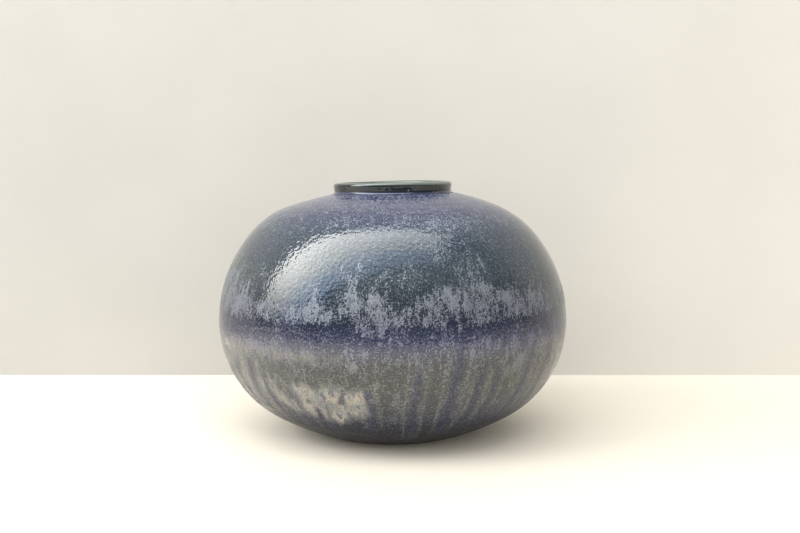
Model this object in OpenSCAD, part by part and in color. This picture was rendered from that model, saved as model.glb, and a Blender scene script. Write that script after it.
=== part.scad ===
// Round-bellied stoneware flower vase with a low collar, glazed inside and out.
// Millimetres. The origin is the centre of the foot, on the surface that the vase stands on; +Z is up.
// The vase is a body of revolution: each node is a flat section, drawn at r = x and z = y, turned about Z.

/* [Body] */
// Widest outside diameter, at the belly
belly_d = 250; // [208:1:300]
// Height of the widest point above the table
belly_z = 82; // [68:1:99]
// Overall height, to the top of the lip
overall_h = 181.5; // [151:0.5:218]
// Thickness of the thrown clay wall
wall_t = 6; // [5:0.5:8]
// Thickness of the clay floor, above the hollow under the foot
floor_t = 7; // [5:0.5:9]

/* [Shoulder outline] */
// Inward lean of the wall where the side arc meets the haunch arc, over its mean lean up to the collar
shoulder_side_lean = 0.916; // [0.85:0.002:1.0]
// The same where the haunch arc meets the crown arc
shoulder_haunch_lean = 3.07; // [2.8:0.01:3.4]
// The same at the collar's base
shoulder_crown_lean = 5.66; // [5.2:0.01:6.2]

/* [Underside outline] */
// Inward lean of the wall where the side arc meets the haunch arc, over its mean lean down to the foot
under_side_lean = 0.582; // [0.5:0.002:0.7]
// The same where the haunch arc meets the keel arc
under_haunch_lean = 1.782; // [1.6:0.002:2.0]
// The same at the foot's edge
under_keel_lean = 3.95; // [3.6:0.01:4.4]

/* [Collar] */
// Outside diameter of the glazed lip
lip_d = 84.8; // [70:0.2:102]
// Height of the collar above the shoulder, at its outside
collar_h = 7.8; // [6.5:0.1:12]
// How much smaller in radius the collar is at its base than at its lip
collar_flare = 0.6; // [0:0.1:1.2]
// Thickness of the collar's clay wall, which ends in a full round lip
collar_wall_t = 3.4; // [2.8:0.1:5]

/* [Foot] */
// Outside diameter of the foot, where it stands
foot_d = 88; // [74:1:106]
// Width of the ring that the vase stands on
foot_ring_w = 8; // [6:0.5:10]
// Depth of the hollow turned out of the base, inside the ring
foot_hollow = 3; // [2.4:0.1:4]
// Bevel along both edges of the ring
foot_bevel = 0.8; // [0.5:0.1:1]

/* [Glaze] */
// Thickness of the grey-green coat over the whole outside
base_glaze_t = 0.7; // [0.5:0.05:0.9]
// Thickness of the blue coat poured over the upper part
blue_glaze_t = 0.5; // [0.3:0.05:0.7]
// Thickness of the dark coat on the collar and lip
collar_glaze_t = 0.6; // [0.4:0.05:0.8]
// Thickness of the liner glaze inside
liner_glaze_t = 0.6; // [0.4:0.05:0.8]
// Height of the lower edge of the blue coat
blue_edge_z = 75; // [62:1:90]
// Height of the lower edge of the base coat, above which no clay is bare
glaze_line_z = 1.5; // [1.2:0.1:2.3]

/* [Hidden] */

$fn = 180;
// Angle between neighbouring points along an arc of the outline
arc_step = 2.5;
// Longer than any section, for squares and wedges that trim one
reach = belly_d + overall_h;

belly_r = belly_d / 2;
foot_r = foot_d / 2;
foot_inner_r = foot_r - foot_ring_w;

// How deep each surface lies under the outermost glaze
base_skin = blue_glaze_t;
clay_skin = base_skin + base_glaze_t;
cavity_skin = clay_skin + wall_t;
liner_skin = cavity_skin + liner_glaze_t;
floor_z = foot_hollow + floor_t;

// The lip is a full round at the top of the collar's wall, and its glaze is a larger round about the same centre
glazed_lip_r = collar_wall_t / 2 + collar_glaze_t;
lip_centre = [lip_d / 2 - glazed_lip_r, overall_h - glazed_lip_r];
crease_r = lip_d / 2 - collar_flare;
crease_z = overall_h - collar_h;
clay_mouth_r = lip_centre.x - collar_wall_t / 2;
mouth_r = lip_centre.x - glazed_lip_r;

// Half of the outline as three arcs that run smoothly on from each other, each as [centre, radius, from, to].
// It starts upright at the belly, on the line y = 0, and passes through [end_r, rise]. The last arc is centred
// on the axis. leans holds the wall's lean at the end of each arc over the mean lean, so that the arcs follow
// when the vase is made wider or taller.
function half_arcs(end_r, rise, leans) =
    let (
        span = belly_r - end_r,
        turns = [for (lean = leans) atan(lean * span / rise)],
        last_r = end_r / cos(turns[2]),
        last_c = [0, rise - last_r * sin(turns[2])],
        in_1 = 1 - cos(turns[0]),
        in_2 = cos(turns[0]) - cos(turns[1]),
        up_1 = sin(turns[0]),
        up_2 = sin(turns[1]) - sin(turns[0]),
        in_both = belly_r - last_r * cos(turns[1]),
        up_both = last_c.y + last_r * sin(turns[1]),
        share = in_1 * up_2 - in_2 * up_1,
        side_r = (in_both * up_2 - in_2 * up_both) / share,
        haunch_r = (in_1 * up_both - in_both * up_1) / share,
        side_c = [belly_r - side_r, 0],
        haunch_c = side_c + (side_r - haunch_r) * [cos(turns[0]), sin(turns[0])]
    )
    [
        [side_c, side_r, 0, turns[0]],
        [haunch_c, haunch_r, turns[0], turns[1]],
        [last_c, last_r, turns[1], 90]
    ];

shoulder_arcs = half_arcs(crease_r, crease_z - belly_z,
    [shoulder_side_lean, shoulder_haunch_lean, shoulder_crown_lean]);
underside_arcs = half_arcs(foot_r, belly_z,
    [under_side_lean, under_haunch_lean, under_keel_lean]);

// Points along the arcs of one half, each pushed in by a skin of the given depth
function half_points(arcs, skin) = [
    for (arc = arcs)
        let (steps = ceil((arc[3] - arc[2]) / arc_step))
            for (i = [0 : steps - 1])
                let (turn = arc[2] + (arc[3] - arc[2]) * i / steps)
                    arc[0] + (arc[1] - skin) * [cos(turn), sin(turn)],
    [0, arcs[2][0].y + arcs[2][1] - skin]
];

// Everything within the outline, less a skin of the given depth
module solid_section(skin) {
    shoulder = half_points(shoulder_arcs, skin);
    underside = half_points(underside_arcs, skin);
    polygon([
        for (p = shoulder) [p.x, belly_z + p.y],
        for (i = [len(underside) - 1 : -1 : 1]) [underside[i].x, belly_z - underside[i].y]
    ]);
}

// The part of its children that is at or above a height
module above(z) {
    intersection() {
        children();
        translate([0, z])
            square(reach);
    }
}

// The part of its children that is outside a radius
module outside(r) {
    difference() {
        children();
        translate([0, -reach])
            square([r, 2 * reach]);
    }
}

// The part of its children that makes room for the collar: nothing within its base, from the belly's height up
module around_collar() {
    difference() {
        children();
        translate([0, belly_z])
            square([crease_r, reach]);
    }
}

// The room inside the vase, less a lining of the given thickness
module cavity_section(lining) {
    above(floor_z + lining)
        solid_section(cavity_skin + lining);
}

// The way in through the shoulder and the collar, from the belly's height up
module mouth_section(r) {
    translate([0, belly_z])
        square([r, reach]);
}

// The collar's wall and lip with a coat on both sides, from the belly's height up
module collar_section(coat) {
    lip_r = collar_wall_t / 2 + coat;
    outer_r = lip_centre.x + lip_r;
    inner_r = lip_centre.x - lip_r;
    translate(lip_centre)
        circle(lip_r);
    polygon([
        [inner_r, belly_z],
        [outer_r - collar_flare, belly_z],
        [outer_r - collar_flare, crease_z],
        [outer_r, lip_centre.y],
        [inner_r, lip_centre.y]
    ]);
}

// The thrown wall, with the floor, the shoulder and the round hole that the collar stands over
module stoneware_body() {
    color("tan")
        rotate_extrude()
            difference() {
                above(foot_hollow)
                    solid_section(clay_skin);
                cavity_section(0);
                mouth_section(clay_mouth_r);
            }
}

// The collar, luted on top of the shoulder
module stoneware_collar() {
    color("burlywood")
        rotate_extrude()
            difference() {
                collar_section(0);
                solid_section(clay_skin);
            }
}

// The turned foot. Its sole is a flat ring, and its outside runs up into the underside of the wall.
module foot_ring() {
    color("peru")
        rotate_extrude() {
            polygon([
                [foot_inner_r, foot_hollow],
                [foot_inner_r, foot_bevel],
                [foot_inner_r + foot_bevel, 0],
                [foot_r - foot_bevel, 0],
                [foot_r, foot_bevel],
                [foot_r, foot_hollow]
            ]);
            outside(foot_r - foot_bevel)
                difference() {
                    above(0)
                        solid_section(clay_skin);
                    translate([0, foot_hollow])
                        square(reach);
                }
        }
}

// The grey-green coat, from the glaze line above the foot up to the collar
module base_glaze() {
    color("darkseagreen")
        rotate_extrude()
            around_collar()
                above(glaze_line_z)
                    difference() {
                        solid_section(base_skin);
                        solid_section(clay_skin);
                    }
}

// The blue coat over it, from just under the belly up to the collar
module blue_glaze() {
    color("slateblue")
        rotate_extrude()
            around_collar()
                above(blue_edge_z)
                    difference() {
                        solid_section(0);
                        solid_section(base_skin);
                    }
}

// The dark coat that wraps the collar: up its outside, over the lip and down the mouth to the liner
module collar_glaze() {
    color("darkslategray")
        rotate_extrude()
            difference() {
                collar_section(collar_glaze_t);
                collar_section(0);
                cavity_section(0);
                outside(clay_mouth_r)
                    solid_section(clay_skin);
            }
}

// The lining that makes the inside watertight
module liner_glaze() {
    color("lightsteelblue")
        rotate_extrude()
            difference() {
                cavity_section(0);
                cavity_section(liner_glaze_t);
                mouth_section(mouth_r);
            }
}

stoneware_body();
stoneware_collar();
foot_ring();
base_glaze();
blue_glaze();
collar_glaze();
liner_glaze();
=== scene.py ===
"""Looks for a wheel-thrown stoneware flower vase: clay, four glazes, a pale table and a soft window.

Every piece is turned from the outline of its CAD node, with the small unevenness of hand work added.
Lengths are in metres. An azimuth is measured round the vase from its front (-Y) towards +X.
"""

import math
import random

import bpy
import numpy as np
from mathutils import Matrix, Vector, noise


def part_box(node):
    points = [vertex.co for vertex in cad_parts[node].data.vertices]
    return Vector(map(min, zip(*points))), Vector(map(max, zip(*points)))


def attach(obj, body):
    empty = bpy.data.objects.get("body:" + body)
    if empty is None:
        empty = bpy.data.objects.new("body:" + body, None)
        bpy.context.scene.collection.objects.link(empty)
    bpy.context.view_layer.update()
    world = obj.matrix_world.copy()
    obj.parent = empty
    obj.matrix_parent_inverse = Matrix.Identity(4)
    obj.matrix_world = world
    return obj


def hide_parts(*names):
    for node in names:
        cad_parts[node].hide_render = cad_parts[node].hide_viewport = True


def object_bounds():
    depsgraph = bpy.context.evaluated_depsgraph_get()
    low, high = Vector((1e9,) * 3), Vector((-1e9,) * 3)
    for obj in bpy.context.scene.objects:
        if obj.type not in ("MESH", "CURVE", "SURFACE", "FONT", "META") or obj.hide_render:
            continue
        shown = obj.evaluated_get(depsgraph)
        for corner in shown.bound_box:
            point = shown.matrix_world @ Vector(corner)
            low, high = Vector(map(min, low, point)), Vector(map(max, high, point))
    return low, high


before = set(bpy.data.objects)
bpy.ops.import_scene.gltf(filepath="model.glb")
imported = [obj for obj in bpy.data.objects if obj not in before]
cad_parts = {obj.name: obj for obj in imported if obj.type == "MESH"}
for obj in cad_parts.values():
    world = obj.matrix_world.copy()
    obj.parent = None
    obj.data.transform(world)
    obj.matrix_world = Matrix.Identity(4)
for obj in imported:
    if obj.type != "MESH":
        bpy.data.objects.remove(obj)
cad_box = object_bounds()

MM = 0.001
TOP_Z = cad_box[1].z
BLUE_EDGE_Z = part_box("blue_glaze")[0].z
# Height of the crease where the collar meets the shoulder
CREASE_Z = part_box("blue_glaze")[1].z
# Points round the vase in the mesh of an outer coat
COLUMNS = 640
# A radius under this counts as on the axis
ON_AXIS = 1e-7
# Gap at each edge of the UV map's two halves, and the share that is left between two gaps
UV_MARGIN = 0.01
UV_SPAN = 0.98


# ---------------------------------------------------------------- outlines


def outline(node):
    """The node's section in the half plane x > 0, y = 0, as (radius, height) points in order round it."""
    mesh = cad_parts[node].data
    links = {}
    flat = {v.index: (round(v.co.x, 6), round(v.co.z, 6)) for v in mesh.vertices
            if abs(v.co.y) < 1e-6 and v.co.x > -1e-6}
    for edge in mesh.edges:
        a, b = (flat.get(i) for i in edge.vertices)
        if a and b and a != b:
            links.setdefault(a, set()).add(b)
            links.setdefault(b, set()).add(a)
    ends = sorted(p for p in links if len(links[p]) == 1)
    start = ends[0] if ends else min(links, key=lambda p: (p[1], p[0]))
    points = [start]
    came_from = None
    while True:
        onward = sorted(p for p in links[points[-1]] if p != came_from)
        if not onward or onward[0] == start:
            return np.array(points)
        came_from = points[-1]
        points.append(onward[0])
        if len(onward) > 1 and onward[1] == start and len(points) > 2:
            return np.array(points)


def smooth_runs(points, corner=24):
    """Splits an outline at its corners and gives the runs between them, each in order."""
    n = len(points)
    ahead = np.roll(points, -1, axis=0) - points
    turn = np.degrees(np.arctan2(ahead[:, 1], ahead[:, 0]))
    bend = np.abs((turn - np.roll(turn, 1) + 180) % 360 - 180)
    corners = [i for i in range(n) if bend[i] > corner]
    runs = []
    for a, b in zip(corners, corners[1:] + [corners[0] + n]):
        runs.append(points[[i % n for i in range(a, b + 1)]])
    return runs


def resample(run, step):
    """Points about one step apart on a smooth curve through a run. step may be a function of the height."""
    run = np.asarray(run, float)
    along = np.concatenate([[0], np.cumsum(np.hypot(*np.diff(run, axis=0).T))])
    if len(run) > 2:
        slope = np.gradient(run, along, axis=0)
    else:
        slope = np.repeat(np.diff(run, axis=0) / along[-1], 2, 0)
    stops = [0.0]
    while stops[-1] < along[-1]:
        z = np.interp(stops[-1], along, run[:, 1])
        stops.append(stops[-1] + (step(z) if callable(step) else step))
    stops = np.array(stops) * along[-1] / stops[-1]
    k = np.clip(np.searchsorted(along, stops, side="right") - 1, 0, len(run) - 2)
    h = (along[k + 1] - along[k])[:, None]
    t = ((stops - along[k]) / h[:, 0])[:, None]
    return ((2 * t**3 - 3 * t**2 + 1) * run[k] + (t**3 - 2 * t**2 + t) * h * slope[k]
            + (3 * t**2 - 2 * t**3) * run[k + 1] + (t**3 - t**2) * h * slope[k + 1])


def two_skins(node, wide_step, narrow_step):
    """The two runs of a node's outline with the most points, the wider first, both from the bottom up."""
    longest = sorted(smooth_runs(outline(node)), key=len)[-2:]
    upward = [run if run[0][1] < run[-1][1] else run[::-1] for run in longest]
    wide, narrow = sorted(upward, key=lambda run: -run[:, 0].max())
    return resample(wide, wide_step), resample(narrow, narrow_step)


def from_axis(run):
    """A run with the point on the axis at its start, which is added only if the run doesn't start there."""
    return run if run[0, 0] < ON_AXIS else np.vstack([[[0, run[0, 1]]], run])


def normals(run):
    """Unit normals of a run in its plane, pointing away from the axis for a run that goes up."""
    d = np.gradient(run, axis=0)
    d /= np.hypot(d[:, 0], d[:, 1])[:, None]
    return np.stack([d[:, 1], -d[:, 0]], axis=1)


def arc(cx, cz, r, start, end, count):
    """Points along an arc, from one angle to another in degrees."""
    t = np.radians(np.linspace(start, end, count))
    return np.stack([cx + r * np.cos(t), cz + r * np.sin(t)], axis=1)


def ease(low, high, value):
    """0 below low, 1 above high and smooth in between. Works downwards too, if high is below low."""
    t = np.clip((np.asarray(value, float) - low) / (high - low), 0, 1)
    return t * t * (3 - 2 * t)


def bump_at(value, centre, half_width):
    """A rounded bump of height 1 round a centre."""
    return np.exp(-((np.asarray(value, float) - centre) / half_width) ** 2)


def angle_from(az, degrees):
    """Signed angle in degrees from a given azimuth, across the join at the back."""
    return (np.degrees(az) - degrees + 180) % 360 - 180


def field(az, height, round_scale, up_scale, seed, octaves=1):
    """Smooth noise of about -1 to 1 with no join. The scales are features per radian and per metre."""
    az, height = np.broadcast_arrays(az, height)
    out = np.empty(az.size)
    for i, (a, h) in enumerate(zip(az.ravel(), height.ravel())):
        x, y = math.cos(a) * round_scale, math.sin(a) * round_scale
        p = Vector((x + seed * 7.3, y, h * up_scale + seed * 3.1))
        value = noise.noise(p)
        for k in range(1, octaves):
            value += noise.noise(p * 2.1**k) * 0.5**k
        out[i] = value
    return out.reshape(az.shape)


# Height of the widest point
BELLY_Z = max(outline("blue_glaze"), key=lambda point: point[0])[1]


# ---------------------------------------------------------------- hand work

COLLAR_LEAN = math.tan(math.radians(1.1))
THROWING_PITCH = 1.3 * MM
THROWING_DEPTH = 0.015 * MM


def place(az, r, z):
    """Where a point of the turned form ends up: out of round at the belly, with a leaning, uneven collar."""
    rings = THROWING_DEPTH * np.sin(z / THROWING_PITCH + 0.9 * np.sin(az + 0.4))
    out_of_round = 0.20 * MM * np.sin(2 * az + 0.6) + 0.12 * MM * np.sin(3 * az + 1.9)
    on_belly = ease(0, 0.03, z) * ease(CREASE_Z, 0.150, z)
    r = r + on_belly * (out_of_round + rings)
    x, y = r * np.sin(az), -r * np.cos(az)
    lean = COLLAR_LEAN * ease(0.158, CREASE_Z + 2 * MM, z)
    uneven_rim = 0.16 * MM * np.sin(2 * az + 2.2) + 0.08 * MM * np.sin(5 * az)
    return x, y, z + lean * x + ease(TOP_Z - 6 * MM, TOP_Z, z) * uneven_rim


def shell_faces(rows, first, closed, columns):
    """Faces between neighbouring rows, and a UV for each corner.

    The right side of the vase fills the lower half of the UV map, and the left side its upper half.
    """
    lengths = np.hypot(*np.diff(np.vstack([rows, rows[:1]]), axis=0).T)
    up = np.concatenate([[0], np.cumsum(lengths)])
    up /= up[-1]
    faces, uvs = [], []
    for i in range(len(rows) if closed else len(rows) - 1):
        a, b = i, (i + 1) % len(rows)
        for j in range(columns):
            k = (j + 1) % columns
            half, left = divmod(2 * j, columns)
            u0 = left / columns * UV_SPAN + UV_MARGIN
            u1 = (left + 2) / columns * UV_SPAN + UV_MARGIN
            v0 = (half + UV_MARGIN + UV_SPAN * up[i]) / 2
            v1 = (half + UV_MARGIN + UV_SPAN * up[i + 1]) / 2
            if rows[a, 0] < ON_AXIS:
                faces.append((first[a], first[b] + k, first[b] + j))
                uvs += [(u0, v0), (u1, v1), (u0, v1)]
            elif rows[b, 0] < ON_AXIS:
                faces.append((first[a] + j, first[a] + k, first[b]))
                uvs += [(u0, v0), (u1, v0), (u0, v1)]
            else:
                faces.append((first[a] + j, first[a] + k, first[b] + k, first[b] + j))
                uvs += [(u0, v0), (u1, v0), (u1, v1), (u0, v1)]
    return faces, uvs


def runs_backwards(rows):
    """True if the rows go clockwise round their section, which would leave the faces inside out."""
    ahead = np.roll(rows, -1, axis=0)
    return np.sum(rows[:, 0] * ahead[:, 1] - ahead[:, 0] * rows[:, 1]) < 0


def turned(name, rows, closed=True, columns=COLUMNS, shape=None, attributes=None):
    """Turns rows of (radius, height) round the axis as one shell, whose faces look outwards.

    A row on the axis becomes a single point. shape(az, r, z) moves points, and attributes maps a name to a
    function of (az, z).
    """
    rows = np.asarray(rows, float)
    az = np.linspace(0, 2 * math.pi, columns, endpoint=False)
    az = np.broadcast_to(az, (len(rows), columns))
    r = np.repeat(rows[:, :1], columns, axis=1)
    z = np.repeat(rows[:, 1:2], columns, axis=1)
    if shape:
        r, z = shape(az, r, z)
    placed = np.stack(place(az, r, z), axis=2)
    widths = [1 if row[0] < ON_AXIS else columns for row in rows]
    first = np.concatenate([[0], np.cumsum(widths)]).tolist()
    faces, uvs = shell_faces(rows, first, closed, columns)

    mesh = bpy.data.meshes.new(name)
    mesh.from_pydata(np.vstack([line[:width] for line, width in zip(placed, widths)]), [], faces)
    mesh.uv_layers.new(name="OFBake").data.foreach_set("uv", np.array(uvs).ravel())
    for label, mask_at in (attributes or {}).items():
        mask = mask_at(az, z)
        values = np.concatenate([line[:width] for line, width in zip(mask, widths)])
        mesh.attributes.new(label, "FLOAT", "POINT").data.foreach_set("value", values.astype(np.float32))
    mesh.validate()
    if runs_backwards(rows):
        mesh.flip_normals()
    mesh.shade_smooth()
    piece = bpy.data.objects.new(name, mesh)
    bpy.context.scene.collection.objects.link(piece)
    return piece


# Runs of glaze down the lower body: azimuth in degrees, half width in degrees, top and bottom height.
random.seed(11)
RUNS = [
    (7.6, 1.3, 0.074, 0.010), (19.6, 1.6, 0.088, 0.016), (-7.2, 1.3, 0.060, 0.022), (27.5, 1.1, 0.072, 0.026),
    (33.5, 1.0, 0.070, 0.030), (46, 1.5, 0.078, 0.028), (-33, 1.6, 0.056, 0.020), (-44, 1.3, 0.064, 0.030),
    (-51, 1.1, 0.060, 0.028), (-22, 1.0, 0.046, 0.020)]
# The ones round the sides and the back, evenly spaced but for a random shift
RUNS += [(58 + 8.6 * i + random.uniform(-2.5, 2.5), random.uniform(1.2, 2.4), random.uniform(0.066, 0.086),
          random.uniform(0.014, 0.040)) for i in range(30)]
# Pale arches in the lower half: azimuth and half-width in degrees, height of the crown
ARCHES = [(12.8, 3.6, 0.0745), (2.0, 5.0, 0.0735), (36.5, 3.2, 0.0655), (45.5, 3.6, 0.0680)]


def across_run(az, z, where):
    """Signed angle in degrees from the middle of a run, which sways a little on its way down."""
    return angle_from(az, where + 0.5 * np.sin(z / (11 * MM) + where))


def runs_at(az, z):
    """How deep a point lies in a run of glaze: 1 along its middle, 0 beside it."""
    out = np.zeros(np.shape(az))
    for where, half, top, bottom in RUNS:
        along = ease(top, top - 12 * MM, z) * ease(bottom - 3 * MM, bottom + 3 * MM, z)
        out = np.maximum(out, bump_at(across_run(az, z, where), 0, half) * along)
    return out


def rims_at(az, z):
    """Where pale lines run through the crystals: along both sides of each run, and in a few arches."""
    out = np.zeros(np.shape(az))
    for where, half, top, bottom in RUNS:
        beside = bump_at(np.abs(across_run(az, z, where)), 2.3 * half, 0.45 * half)
        out = np.maximum(out, beside * ease(top, top - 10 * MM, z) * ease(bottom, bottom + 4 * MM, z))
    for where, wide, crown in ARCHES:
        across = angle_from(az, where) / wide
        arch = crown - 9 * MM * across**2
        out = np.maximum(out, bump_at(z, arch, 0.7 * MM) * (np.abs(across) < 1.3))
    return out


def coat_relief(az, z):
    """Unevenness of the outer glaze along its normal."""
    slow_wave = 0.05 * MM * field(az, z, 5, 38, 1)
    ripple = 0.015 * MM * field(az, z, 16, 130, 2)
    return slow_wave + ripple + 0.16 * MM * runs_at(az, z)


# ---------------------------------------------------------------- masks for the outer glaze


# Edges of the broad band of crystals: azimuth in degrees and height in millimetres
BAND_TOP = [
    (-62, 121), (-53, 118), (-49, 106), (-25, 106), (-23.5, 117), (-21.5, 117), (-20, 104), (-17, 105),
    (-15.5, 116), (-10, 116), (-2, 112), (0, 105), (6, 106), (8, 112), (13, 118), (30, 118), (38, 112), (60, 109)]
BAND_FOOT = [
    (-60, 94), (-50, 94), (-40, 94), (-22, 95), (-11, 97), (-9.5, 88), (-1.5, 88), (0, 95), (10, 95), (13, 93),
    (18, 99), (19.5, 93), (30, 95), (40, 97)]
# Lower edge of the warm patch, in the same way
PATCH_FOOT = [(-48, 50), (-41, 43), (-35, 33), (-17, 28), (-8, 36), (-4, 50)]


def edge_at(deg, edge):
    """Height of an edge at an azimuth in degrees."""
    return np.interp(deg, *zip(*edge)) * MM


def band_at(az, z):
    """The broad band of crystals above the belly, whose edges step up and down round the vase."""
    deg = angle_from(az, 0) + 1.5 * field(az, z, 30, 60, 12, 2)
    rise = 5 * MM * field(az, z * 0, 8, 0, 13) * ease(66, 80, np.abs(deg))
    upper = edge_at(deg, BAND_TOP)
    lower = edge_at(deg, BAND_FOOT)
    jag = z + rise + 2.0 * MM * field(az, z * 0, 60, 0, 14)
    return ease(lower - 1.2 * MM, lower + 1.6 * MM, jag) * ease(upper + 4 * MM, upper - 2 * MM, jag)


# Windows of bare glass in the crystals: azimuth and half-width in degrees, height and half-height, depth
GAPS = [
    (-18.5, 2.8, 0.1105, 0.0065, 0.42), (-13, 6, 0.1165, 0.003, 0.22), (3, 4, 0.110, 0.005, 0.28),
    (10.5, 3, 0.117, 0.005, 0.26), (21, 3.5, 0.1165, 0.005, 0.30), (9, 3, 0.103, 0.004, 0.24),
    (-17, 8, 0.087, 0.006, 0.30), (12.8, 3.2, 0.054, 0.018, 0.34), (1.5, 3.6, 0.064, 0.010, 0.18),
    (23, 2.2, 0.062, 0.010, 0.20), (34, 2.4, 0.056, 0.009, 0.22), (-56, 13, 0.0835, 0.0045, 0.28),
    (-31, 9, 0.0865, 0.004, 0.12), (-12, 3.5, 0.1085, 0.004, 0.14), (6, 5, 0.099, 0.003, 0.12)]
# Share of crystals at each height in millimetres, before the patches; the few near the foot are part of the
# painted shade there
COVER = [
    (0, 0.04), (12, 0.10), (20, 0.20), (30, 0.32), (45, 0.36), (60, 0.34), (70, 0.36), (77, 0.38), (85, 0.32),
    (90, 0.18), (97, 0.16), (105, 0.26), (115, 0.30), (122, 0.28), (130, 0.16), (140, 0.08), (148, 0.18),
    (156, 0.35), (163, 0.33), (169, 0.43), (174, 0.54)]


def cover_at(az, z):
    """How much of the glaze is covered by pale crystals, from 0 to 1, by height and azimuth, with a painted sheen
    of pale crystals added low on the far left.
    """
    deg = angle_from(az, 0)
    jag = z + 3 * MM * field(az, z * 0, 9, 0, 3) + 3 * MM * field(az, z * 0, 26, 0, 4)
    heights, amounts = zip(*COVER)
    cover = np.interp(jag, np.array(heights) * MM, amounts)
    patches = 0.24 * field(az, z, 8, 50, 5, 2)
    cover = cover + patches * ease(0.02, 0.05, z) * ease(0.150, 0.125, z) + 0.32 * band_at(az, z)

    right = bump_at(deg, 20, 12) * ease(0.124, 0.134, z) * ease(0.165, 0.155, z)
    far_right = bump_at(deg, 62, 17) * ease(0.112, 0.122, z) * ease(0.160, 0.146, z)
    left = bump_at(deg, -46, 16) * ease(0.103, 0.110, z) * ease(0.165, 0.150, z)
    middle = bump_at(deg, -34, 12) * ease(0.104, 0.108, z) * ease(0.150, 0.140, z)
    navy = bump_at(deg, -50, 30) * bump_at(z, 0.0885, 0.005)
    # Painted sheen: the far left low side is made paler, standing in for the light from the left and its grazing
    # reflection
    painted_sheen = bump_at(deg, -64, 13) * bump_at(z, 0.054, 0.020)
    pale = bump_at(deg, -44, 16) * bump_at(z, 0.0765, 0.0045)
    cover = cover + 0.20 * right - 0.34 * far_right - 0.16 * left - 0.18 * middle - 0.22 * navy + 0.30 * pale
    cover = cover + 0.40 * painted_sheen

    for where, half, level, reach, depth in GAPS:
        cover = cover - depth * bump_at(deg, where, half) * bump_at(z, level, reach)
    tongues = 12 * MM * np.maximum(bump_at(deg, 1, 3), bump_at(deg, 10.5, 3))
    hem = 29.5 * MM + 5 * MM * field(az, z * 0, 7, 0, 15) - tongues
    return np.clip(cover * ease(hem - 4 * MM, hem + 4 * MM, z), 0, 1)


def beige_at(az, z):
    """The warm patch low on the left, and its fainter kin round the back, with a painted sheen of warm colour on
    the far left low side.
    """
    # Painted sheen: the far left low side is tinted warm and pale, standing in for the light from the left and
    # its grazing reflection
    painted_sheen = bump_at(angle_from(az, 0), -68, 18) * bump_at(z, 0.048, 0.022)
    jag = z + 3 * MM * field(az, z, 18, 90, 16)
    deg = angle_from(az, 0) + 3 * field(az, z, 20, 120, 17, 2)
    low = edge_at(deg, PATCH_FOOT)
    patch = ease(-54, -44, deg) * ease(-2, -10, deg) * ease(low - 4 * MM, low + 4 * MM, jag)
    patch = patch * ease(0.058, 0.050, jag)
    patch = patch * ease(-0.55, -0.05, field(az, z, 13, 70, 18, 2))
    back = ease(0.2, 0.6, field(az, z, 2.2, 20, 6)) * ease(0.028, 0.040, z) * ease(0.068, 0.056, z)
    back = back * ease(60, 90, np.abs(deg))
    band = bump_at(z, 0.074, 0.004) * ease(-88, -62, deg) * ease(-8, -30, deg)
    return np.clip(patch + painted_sheen + 0.5 * band + 0.7 * back, 0, 1)


OUTER_MASKS = {"cover": cover_at, "run": runs_at, "rim": rims_at, "beige": beige_at}


# ---------------------------------------------------------------- the pieces

# Distance between rows where nothing shows
HIDDEN_STEP = 9 * MM
BLUE_THICKNESS = 0.5 * MM


def first_rows(rows, count):
    """A column that is 1 for the first rows and 0 for the others."""
    column = np.zeros((len(rows), 1))
    column[:count] = 1
    return column


def disc(radius, z, count):
    """Rows of a flat disc from its centre outwards, without its edge."""
    return np.stack([np.linspace(0, radius, count + 1)[:-1], np.full(count, z)], axis=1)


def whole_outline(node, step, corner=24):
    """A node's whole outline as rows, with its corners kept."""
    return np.vstack([resample(run, step)[:-1] for run in smooth_runs(outline(node), corner)])


def base_coat():
    """The grey-green coat, with dense rows where it shows and sparse ones under the blue coat."""
    def step(z):
        return 1.25 * MM if z < BLUE_EDGE_Z + 4 * MM else 8 * MM

    outer, inner = two_skins("base_glaze", step, HIDDEN_STEP)
    rows = np.vstack([outer, inner[::-1]])
    out = np.vstack([normals(outer), np.zeros_like(inner)])

    def shape(az, r, z):
        bead = 0.28 * MM * bump_at(z, 2.6 * MM, 1.4 * MM)
        push = (coat_relief(az, z) + bead) * ease(BLUE_EDGE_Z + 6 * MM, BLUE_EDGE_Z - 3 * MM, z)
        wave = 0.5 * MM * field(az, z * 0, 12, 0, 8) * ease(8 * MM, 1.5 * MM, z)
        return r + push * out[:, :1] + wave * 1.5, z + push * out[:, 1:] + wave

    return turned("Base_glaze", rows, shape=shape, attributes=OUTER_MASKS)


def blue_coat():
    """The blue coat, whose lower edge runs down in tongues and thins out to nothing over the base coat."""
    outer, inner = two_skins("blue_glaze", 1.3 * MM, HIDDEN_STEP)
    under = two_skins("base_glaze", 1.3 * MM, HIDDEN_STEP)[0]
    tail = under[(under[:, 1] > BLUE_EDGE_Z - 13 * MM) & (under[:, 1] < BLUE_EDGE_Z - 0.5 * MM)]
    sunk = tail - 0.45 * MM * normals(tail)
    rows = np.vstack([tail, outer, inner[::-1], sunk[::-1]])
    out = np.vstack([normals(tail), normals(outer), np.zeros_like(inner), np.zeros_like(tail)])
    on_tail = first_rows(rows, len(tail))

    def shape(az, r, z):
        edge = BLUE_EDGE_Z - 6 * MM + 3 * MM * field(az, z * 0, 10, 0, 9, 2)
        thick = BLUE_THICKNESS * ease(edge, edge + 14 * MM, z) - 0.06 * MM * ease(edge + 3 * MM, edge, z)
        push = np.where(on_tail > 0, thick, thick - BLUE_THICKNESS) + coat_relief(az, z)
        return r + push * out[:, :1], z + push * out[:, 1:]

    return turned("Blue_glaze", rows, shape=shape, attributes=OUTER_MASKS)


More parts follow.
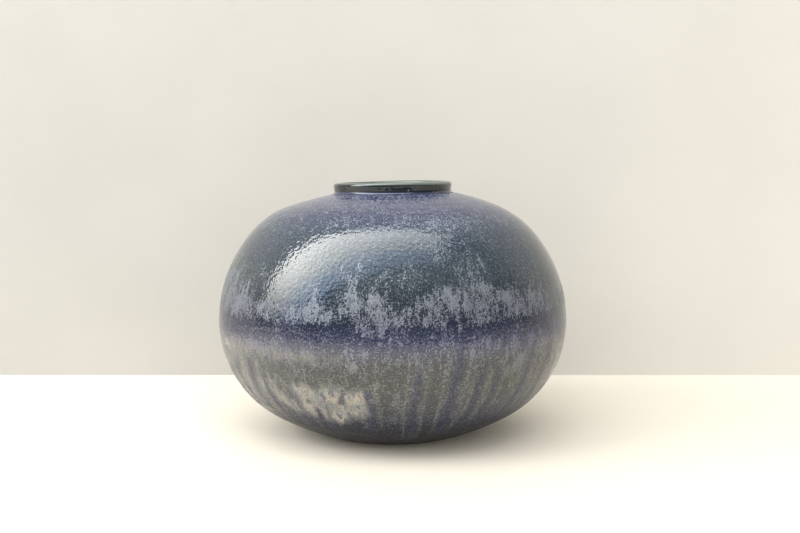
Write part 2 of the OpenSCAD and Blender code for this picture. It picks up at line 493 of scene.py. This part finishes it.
def collar_coat():
    """The collar's coat: the mouth, the round lip and the outside, with a pooled fillet at its base."""
    loop = outline("collar_glaze")
    top = max(smooth_runs(loop), key=lambda run: run[:, 1].max())
    top = top if top[0][0] < top[-1][0] else top[::-1]
    mouth_r, wall_r = top[0][0], top[-1][0]
    bottom = loop[:, 1].min()
    fillet = 2.0 * MM
    crease_r = wall_r + 0.1 * MM
    lip = resample(top, 0.25 * MM)
    mouth = resample(np.array([[mouth_r, bottom + 0.4 * MM], lip[0]]), 0.8 * MM)
    lip_and_side = lip[lip[:, 1] > CREASE_Z + 1.85 * MM]
    pool = arc(crease_r + fillet, CREASE_Z + fillet - 0.15 * MM, fillet, 180, 262, 9)
    in_the_clay = np.array([
        [crease_r - 0.8 * MM, CREASE_Z - 0.6 * MM], [wall_r - 0.75 * MM, CREASE_Z + 3 * MM],
        [wall_r - 0.75 * MM, TOP_Z - 3 * MM], [mouth_r + 0.7 * MM, TOP_Z - 3 * MM],
        [mouth_r + 0.7 * MM, CREASE_Z], [mouth_r + 0.5 * MM, bottom + 0.6 * MM]])

    def shape(az, r, z):
        wave = 0.07 * MM * field(az, z, 6, 160, 12) + 0.03 * MM * field(az, z, 22, 300, 13)
        return r + wave, z

    return turned("Collar_glaze", np.vstack([mouth[:-1], lip_and_side, pool, in_the_clay]), shape=shape)


def liner():
    """The glazed inside, with the spiral that the potter's fingers leave on the floor."""
    back, face = two_skins("liner_glaze", HIDDEN_STEP, 2.4 * MM)
    floor_r, floor_z = face[0]
    floor = disc(floor_r, floor_z, 23)
    rows = np.vstack([floor, face, from_axis(back)[::-1]])
    on_face = first_rows(rows, len(floor) + len(face))

    def shape(az, r, z):
        on_floor = ease(floor_r, 0.6 * floor_r, r) * ease(0.014, 0.012, z)
        spiral = 0.25 * MM * np.sin(r / (1.6 * MM) - az) * on_floor
        pooled = 0.3 * MM * ease(floor_r * 0.7, floor_r * 1.02, r) * ease(0.016, 0.012, z)
        rings = -0.22 * MM * np.sin(z / (1.5 * MM) + az) * ease(0.02, 0.04, z) * ease(0.165, 0.150, z)
        return r + rings * on_face, z + (spiral + pooled) * on_face

    return turned("Liner_glaze", rows, closed=False, columns=360, shape=shape)


def clay_body():
    """The thrown body, hidden but for the disc inside the foot ring."""
    outside, inside = two_skins("stoneware_body", 6 * MM, 6 * MM)
    sole = disc(*outside[0], 49)
    rows = np.vstack([sole, outside, from_axis(inside)[::-1]])
    on_sole = first_rows(rows, len(sole))

    def shape(az, r, z):
        turning = 0.10 * MM * np.sin(r / (0.55 * MM) - az) + 0.25 * MM * bump_at(r, 0, 3 * MM)
        return r, z - turning * on_sole

    return turned("Stoneware_body", rows, closed=False, columns=360, shape=shape)


def foot():
    """The bare foot ring, with fine turning lines on its side and grog that stands up in its sole."""
    def shape(az, r, z):
        grog = 0.05 * MM * field(az, r * 40 + z * 90, 30, 8, 15)
        turning = 0.05 * MM * np.sin((r + z) / (0.4 * MM) + az)
        on_side = ease(0, 0.6 * MM, z) * ease(3 * MM, 2.2 * MM, z)
        return r + turning * on_side, z + np.maximum(grog, 0) * ease(1.2 * MM, 0, z)

    return turned("Foot_ring", whole_outline("foot_ring", 0.7 * MM, 15), columns=480, shape=shape)


pieces = {
    "base_glaze": base_coat(),
    "blue_glaze": blue_coat(),
    "collar_glaze": collar_coat(),
    "liner_glaze": liner(),
    "stoneware_body": clay_body(),
    "stoneware_collar": turned("Stoneware_collar", whole_outline("stoneware_collar", 0.8 * MM), columns=240),
    "foot_ring": foot(),
}


# ---------------------------------------------------------------- materials

# Colours by height: millimetres and an 8-bit colour, for the glass and for the crystals on it. Both darken to
# near black below about 40 mm as painted shade where the vase meets the table
GLASS = [
    (8, (8, 8, 12)), (20, (18, 19, 30)), (30, (36, 38, 54)), (40, (56, 57, 60)), (56, (60, 61, 57)),
    (70, (58, 59, 60)), (78, (58, 60, 74)), (86, (40, 43, 66)), (96, (28, 33, 48)), (110, (36, 44, 52)),
    (126, (50, 59, 66)), (150, (48, 60, 74)), (162, (38, 47, 80)), (173, (44, 50, 90))]
CRYSTAL = [
    (10, (40, 40, 48)), (30, (84, 82, 84)), (45, (102, 101, 98)), (62, (106, 106, 101)),
    (74, (112, 111, 114)), (84, (100, 101, 120)), (98, (102, 106, 116)), (114, (108, 112, 120)),
    (132, (114, 121, 128)), (154, (126, 135, 150)), (165, (118, 125, 142)), (173, (130, 138, 156))]
GLASS_IOR = 1.52


def rgb(r, g, b):
    """A linear colour from 8-bit sRGB numbers."""
    shares = (r / 255, g / 255, b / 255)
    return tuple(c / 12.92 if c <= 0.04045 else ((c + 0.055) / 1.055) ** 2.4 for c in shares) + (1,)


def at(z):
    """A height in millimetres as a share of the vase's height."""
    return z * MM / TOP_Z


class Nodes:
    """Builds a node tree in short lines. A value may be a number, a colour or another node's output."""

    def __init__(self, tree):
        self.tree = tree
        tree.nodes.clear()

    def put(self, value, socket):
        if isinstance(value, bpy.types.NodeSocket):
            self.tree.links.new(value, socket)
        else:
            socket.default_value = value

    def add(self, kind, inputs=None, **settings):
        node = self.tree.nodes.new("ShaderNode" + kind)
        for k, v in settings.items():
            setattr(node, k, v)
        for k, v in (inputs or {}).items():
            self.put(v, node.inputs[k])
        return node

    def math(self, operation, a, b=0.0, c=0.0, clamp=False):
        node = self.add("Math", {0: a, 1: b, 2: c}, operation=operation, use_clamp=clamp)
        return node.outputs[0]

    def vector(self, x, y, z):
        return self.add("CombineXYZ", {0: x, 1: y, 2: z}).outputs[0]

    def noise(self, vector, scale, detail=2.0, roughness=0.5, distortion=0.0):
        grain = {"Scale": scale, "Detail": detail, "Roughness": roughness, "Distortion": distortion}
        return self.add("TexNoise", {"Vector": vector, **grain}).outputs[0]

    def between(self, value, low, high):
        """0 at low and 1 at high, smooth and clamped."""
        limits = {"Value": value, "From Min": low, "From Max": high}
        return self.add("MapRange", limits, interpolation_type="SMOOTHSTEP").outputs[0]

    def ramp(self, height, stops):
        """A colour by height, from stops of (millimetres, 8-bit colour)."""
        node = self.add("ValToRGB", {0: height})
        elements = node.color_ramp.elements
        while len(elements) < len(stops):
            elements.new(0.5)
        for element, (z, colour) in zip(elements, stops):
            element.position = at(z)
            element.color = rgb(*colour)
        return node.outputs[0]

    def mix(self, factor, a, b):
        node = self.add("Mix", data_type="RGBA")
        self.put(factor, node.inputs[0])
        self.put(a, node.inputs[6])
        self.put(b, node.inputs[7])
        return node.outputs[2]

    def tint(self, mask, amount, colour, over):
        """A colour laid over another as far as a mask says, and at most by the given amount."""
        return self.mix(self.math("MULTIPLY", mask, amount), over, colour)

    def attribute(self, name):
        return self.add("Attribute", attribute_name=name).outputs["Fac"]


def new_material(name):
    material = bpy.data.materials.new(name)
    material.use_nodes = True
    return material, Nodes(material.node_tree)


def round_body(n):
    """The point, its share of the vase's height, its direction as x and y, and its angle above the belly."""
    point = n.add("TexCoord").outputs["Object"]
    x, y, z = n.add("SeparateXYZ", {0: point}).outputs
    reach = n.math("SQRT", n.math("ADD", n.math("MULTIPLY", x, x), n.math("MULTIPLY", y, y)))
    climb = n.math("ARCTAN2", n.math("SUBTRACT", z, BELLY_Z), reach)
    return point, n.math("DIVIDE", z, TOP_Z), n.math("DIVIDE", x, reach), n.math("DIVIDE", y, reach), climb


def flow(n, body, stretch):
    """Coordinates on a unit cylinder, squeezed along the drips so that a noise in them is stretched."""
    across_x, across_y, climb = body[2:]
    return n.vector(across_x, across_y, n.math("MULTIPLY", climb, 1 / stretch))


def finish_material(n, colour, roughness, height, distance, ior):
    """Wires up a glossy or dull surface with a bump, and returns its shader."""
    shader = n.add("BsdfPrincipled", {"Base Color": colour, "Roughness": roughness, "IOR": ior})
    bump = n.add("Bump", {"Height": height, "Distance": distance, "Strength": 1.0})
    n.put(bump.outputs[0], shader.inputs["Normal"])
    n.put(shader.outputs[0], n.add("OutputMaterial").inputs[0])
    return shader


def crystal_mask(n, body, grit):
    """Where crystals cover the glass: grains and streaks along the drips, worm-like flecks on the crown."""
    point, height = body[0], body[1]
    upper = n.between(height, at(132), at(150))
    streaks = n.noise(flow(n, body, 2.2), 135.0, 3.0, 0.7)
    worm = n.math("ABSOLUTE", n.math("SUBTRACT", n.noise(point, 560.0, 1.5, 0.5, 0.6), 0.5))
    worms = n.math("SUBTRACT", 0.62, n.math("MULTIPLY", worm, 2.6))
    lower_grain = n.math("ADD", n.math("MULTIPLY", streaks, 0.45), n.math("MULTIPLY", grit, 0.55))
    upper_grain = n.math("ADD", n.math("MULTIPLY", worms, 0.45), n.math("MULTIPLY", grit, 0.55))
    grain = n.mix(upper, lower_grain, upper_grain)
    patch = n.mix(upper, n.noise(flow(n, body, 1.6), 17.0, 3.0, 0.6), n.noise(point, 90.0, 2.0, 0.5))
    streak = n.mix(upper, n.noise(flow(n, body, 3.2), 40.0, 2.0, 0.5), n.noise(point, 260.0, 2.0, 0.5))
    patch_gain = n.math("MULTIPLY_ADD", upper, -0.6, 1.1)
    density = n.math("MULTIPLY_ADD", n.math("SUBTRACT", patch, 0.5), patch_gain, n.attribute("cover"))
    density = n.math("MULTIPLY_ADD", n.math("SUBTRACT", streak, 0.5), 1.0, density)
    grain_gain = n.math("MULTIPLY_ADD", upper, 4.0, 12.0)
    threshold = n.math("MULTIPLY_ADD", density, 3.6, -1.3)
    return n.math("MULTIPLY_ADD", n.math("SUBTRACT", grain, 0.5), grain_gain, threshold, clamp=True)


def warm_patch(n, body):
    """Colour of the warm patch: grey to buff, with blue bruises."""
    mottle = n.between(n.noise(flow(n, body, 1.5), 26.0, 4.0, 0.65), 0.40, 0.60)
    bruise = n.between(n.noise(flow(n, body, 2.2), 21.0, 3.0, 0.6), 0.53, 0.62)
    return n.tint(bruise, 0.85, rgb(60, 68, 90), over=n.mix(mottle, rgb(128, 132, 126), rgb(160, 151, 139)))


def outer_glaze(name):
    """Blue over grey-green: dark glass with pale crystals, in bands by height."""
    material, n = new_material(name)
    body = round_body(n)
    point, height = body[0], body[1]
    drift = n.math("SUBTRACT", n.noise(flow(n, body, 2.0), 9.0, 3.0), 0.5)
    wander = n.math("MULTIPLY_ADD", drift, 0.05, height)
    grit = n.noise(point, 900.0, 2.5, 0.7)
    speckle = n.noise(point, 1000.0, 2.0, 0.6)
    mask = crystal_mask(n, body, grit)
    beige = n.attribute("beige")

    # The height ramps carry painted shade near the foot
    glass = n.tint(beige, 0.85, warm_patch(n, body), over=n.ramp(wander, GLASS))
    crystal = n.ramp(wander, CRYSTAL)
    tone = n.between(n.noise(flow(n, body, 1.4), 60.0, 4.0, 0.7), 0.30, 0.70)
    crystal = n.mix(tone, n.mix(0.30, crystal, rgb(53, 58, 79)), crystal)
    colour = n.tint(mask, 0.92, crystal, over=glass)
    colour = n.tint(n.attribute("run"), 0.78, rgb(36, 40, 62), over=colour)
    rim = n.math("MULTIPLY", n.attribute("rim"), n.between(grit, 0.42, 0.56))
    colour = n.tint(rim, 0.38, rgb(128, 129, 124), over=colour)
    colour = n.tint(n.between(speckle, 0.54, 0.66), 0.55, rgb(33, 37, 48), over=colour)
    colour = n.tint(n.between(speckle, 0.44, 0.36), 0.30, rgb(144, 148, 153), over=colour)

    dull = n.math("MULTIPLY", n.between(height, at(46), at(22)), 0.25)
    roughness = n.math("ADD", n.math("MULTIPLY_ADD", mask, 0.42, 0.04), dull)
    relief = n.math("MULTIPLY_ADD", mask, 0.06, n.noise(point, 440.0, 1.0, 0.5))
    shader = finish_material(n, colour, roughness, relief, 0.25 * MM, GLASS_IOR)
    gloss = n.math("MULTIPLY_ADD", n.between(height, at(20), at(56)), 0.46, 0.04)
    gloss = n.math("MINIMUM", n.math("MULTIPLY_ADD", beige, 0.35, gloss), 0.5)
    n.put(gloss, shader.inputs["Specular IOR Level"])
    return material


def collar_glaze():
    """Dark bottle-green glass, paler over the lip, where the glaze thins and a highlight is painted in, and
    violet at its foot.
    """
    material, n = new_material("Collar_glaze")
    body = round_body(n)
    point, height = body[0], body[1]
    colour = n.mix(n.noise(flow(n, body, 1.2), 12.0, 3.0), rgb(10, 16, 20), rgb(26, 35, 38))
    # The pale band over the lip: partly the glaze thinning, partly a painted highlight
    colour = n.tint(n.between(height, at(179.4), at(180.9)), 0.85, rgb(106, 116, 108), over=colour)
    colour = n.tint(n.between(height, at(175.6), at(173.9)), 0.8, rgb(56, 58, 92), over=colour)
    fleck = n.between(n.noise(point, 600.0, 2.0), 0.64, 0.72)
    colour = n.tint(fleck, 0.5, rgb(128, 136, 138), over=colour)
    peel = n.noise(point, 420.0, 2.0, 0.5)
    finish_material(n, colour, n.math("MULTIPLY_ADD", fleck, 0.25, 0.08), peel, 0.012 * MM, GLASS_IOR)
    return material


def liner_glaze():
    """The inside: dark blue-green glass, bluer where it pools on the floor."""
    material, n = new_material("Liner_glaze")
    body = round_body(n)
    point, height = body[0], body[1]
    colour = n.mix(n.noise(flow(n, body, 2.0), 10.0, 3.0), rgb(58, 70, 74), rgb(84, 94, 92))
    colour = n.mix(n.between(height, at(22), at(10)), colour, rgb(40, 50, 78))
    fleck = n.between(n.noise(point, 480.0, 2.0), 0.62, 0.70)
    colour = n.tint(fleck, 0.5, rgb(120, 130, 134), over=colour)
    peel = n.noise(point, 300.0, 2.0, 0.5)
    finish_material(n, colour, n.math("MULTIPLY_ADD", fleck, 0.2, 0.12), peel, 0.03 * MM, GLASS_IOR)
    return material


def bare_clay(name, buff):
    """Fired stoneware, brown to the given buff, with iron specks and coarse grog."""
    material, n = new_material(name)
    point = n.add("TexCoord").outputs["Object"]
    tone = n.noise(point, 60.0, 3.0)
    iron = n.between(n.noise(point, 900.0, 2.0), 0.64, 0.70)
    colour = n.tint(iron, 0.8, rgb(78, 54, 40), over=n.mix(tone, rgb(150, 124, 98), buff))
    grain = n.noise(point, 1500.0, 3.0, 0.7)
    finish_material(n, colour, n.math("MULTIPLY_ADD", tone, 0.2, 0.72), grain, 0.05 * MM, 1.45)
    return material


materials = {
    "stoneware_body": (bare_clay("Stoneware", rgb(168, 148, 124)), "stoneware"),
    "stoneware_collar": (bare_clay("Stoneware_collar_clay", rgb(168, 148, 124)), "stoneware"),
    "foot_ring": (bare_clay("Bare_foot", rgb(182, 156, 126)), "bare_foot"),
    "base_glaze": (outer_glaze("Base_glaze_coat"), "base_glaze"),
    "blue_glaze": (outer_glaze("Blue_glaze_coat"), "blue_glaze"),
    "collar_glaze": (collar_glaze(), "collar_glaze"),
    "liner_glaze": (liner_glaze(), "liner_glaze"),
}
for node, piece in pieces.items():
    material, slot = materials[node]
    piece.data.materials.append(material)
    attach(piece, "root")
    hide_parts(node)


# ---------------------------------------------------------------- table, wall and light

WALL_Y = 0.21
TABLE_EDGE = -0.75
STAGE_REACH = 4
WALL_TOP = 3
# The middle of the vase, which every light faces
AIM = Vector((0, 0, 0.08))


def sheet(name, corners, colours, scale):
    """A flat four-cornered surface for the stage, see-through from behind, its paint mottled and darker towards
    the left as painted shade.
    """
    mesh = bpy.data.meshes.new(name)
    mesh.from_pydata(corners, [], [(0, 1, 2, 3)])
    obj = bpy.data.objects.new(name, mesh)
    bpy.context.scene.collection.objects.link(obj)
    material, n = new_material(name + "_paint")
    point = n.add("TexCoord").outputs["Object"]
    # The paint goes from the first colour on the left to the second on the right: painted shade, clear on the
    # wall and slight on the table
    side = n.between(n.add("SeparateXYZ", {0: point}).outputs[0], -0.45, 0.45)
    shade = n.math("MULTIPLY_ADD", n.noise(point, scale, 3.0), 0.3, n.math("MULTIPLY", side, 0.7))
    paint = n.add("BsdfPrincipled", {"Base Color": n.mix(shade, *colours), "Roughness": 0.7}).outputs[0]
    backing = n.add("NewGeometry").outputs["Backfacing"]
    clear = n.add("BsdfTransparent").outputs[0]
    both = n.add("MixShader", {0: backing, 1: paint, 2: clear}).outputs[0]
    n.put(both, n.add("OutputMaterial").inputs[0])
    mesh.materials.append(material)


sheet("Table",
      [(-STAGE_REACH, TABLE_EDGE, 0), (STAGE_REACH, TABLE_EDGE, 0), (STAGE_REACH, STAGE_REACH, 0),
       (-STAGE_REACH, STAGE_REACH, 0)],
      (rgb(241, 235, 221), rgb(243, 236, 223)), 6.0)
# The wall's darker colour on the left is painted shade
sheet("Wall",
      [(-STAGE_REACH, WALL_Y, 0), (STAGE_REACH, WALL_Y, 0), (STAGE_REACH, WALL_Y, WALL_TOP),
       (-STAGE_REACH, WALL_Y, WALL_TOP)],
      (rgb(160, 158, 153), rgb(195, 192, 185)), 9.0)


def area_light(name, centre, length, width, power, colour, along=None, gradient=None):
    """A rectangular light that faces the vase, with its length along a given direction or level.

    gradient(n, along, across) gives the inputs of its emission, from two shares of its length and width.
    """
    light = bpy.data.lights.new(name, "AREA")
    light.shape = "RECTANGLE"
    light.size, light.size_y = length, width
    light.energy = power
    light.color = colour
    back = (Vector(centre) - AIM).normalized()
    x = (along or Vector((0, 0, 1)).cross(back)).normalized()
    z = (back - back.dot(x) * x).normalized()
    obj = bpy.data.objects.new(name, light)
    obj.matrix_world = Matrix.Translation(centre) @ Matrix((x, z.cross(x), z)).transposed().to_4x4()
    bpy.context.scene.collection.objects.link(obj)
    obj.visible_camera = False
    if gradient:
        light.use_nodes = True
        n = Nodes(light.node_tree)
        uv = n.add("SeparateXYZ", {0: n.add("NewGeometry").outputs["Parametric"]}).outputs
        n.put(n.add("Emission", gradient(n, uv[0], uv[1])).outputs[0], n.add("OutputLight").inputs[0])
    return obj


def window_fade(n, along, across):
    """Brightest along the edge by the wall, dim at both ends, and sky blue towards the room."""
    low = n.between(along, 1.05, 0.35)
    tail = n.math("MULTIPLY_ADD", n.between(along, 0.0, 0.45), 0.7, 0.3)
    floor = n.math("MULTIPLY_ADD", n.between(along, 0.55, 0.22), 0.22, 0.12)
    fade = n.math("MULTIPLY_ADD", across, n.math("SUBTRACT", 1.0, floor), floor)
    ends = n.math("MULTIPLY", n.math("MULTIPLY_ADD", low, 0.7, 0.3), tail)
    sky = n.mix(n.between(across, 0.05, 0.60), rgb(178, 208, 246), rgb(250, 250, 244))
    return {"Strength": n.math("MULTIPLY", ends, fade), "Color": sky}


# The window is a slanted strip that reaches from over the vase's right side down to the left
high, low = Vector((0.545, 0, 1.195)), Vector((-1.49, 0, 0.252))
near_wall, near_room = 0.02, -0.68
window = area_light(
    "Window_glint", (high + low) / 2 + Vector((0, (near_wall + near_room) / 2, 0)), (high - low).length,
    near_wall - near_room, 79, (1.0, 1.0, 1.0), along=high - low, gradient=window_fade)
window.visible_diffuse = False
for name, centre, length, width, power in [
        ("Daylight", (-2.0, -0.9, 1.35), 1.6, 1.2, 36),
        ("Ceiling", (-0.3, -1.6, 1.9), 3.2, 2.0, 64),
        ("Room_fill", (0.1, -2.7, 0.8), 5.0, 1.5, 62),
        ("Back_fill", (0.0, 1.6, 1.4), 1.6, 1.2, 14)]:
    area_light(name, centre, length, width, power, (1.0, 0.99, 0.97)).visible_glossy = False

world = bpy.data.worlds.new("Room")
world.use_nodes = True
n = Nodes(world.node_tree)
sky = n.add("Background", {"Color": rgb(205, 208, 212), "Strength": 0.26})
n.put(sky.outputs[0], n.add("OutputWorld").inputs[0])
scene = bpy.context.scene
scene.world = world
scene.view_settings.view_transform = "Standard"

# ---------------------------------------------------------------- camera

EYE = (0.0053, -0.8005, 0.1959)
LOOKS_DOWN_DEGREES = 5.39

camera = bpy.data.cameras.new("Camera")
camera.lens = 50
camera.sensor_width = 36
eye = bpy.data.objects.new("Camera", camera)
eye.location = EYE
eye.rotation_euler = (math.radians(90 - LOOKS_DOWN_DEGREES), 0, 0)
scene.collection.objects.link(eye)
scene.camera = eye
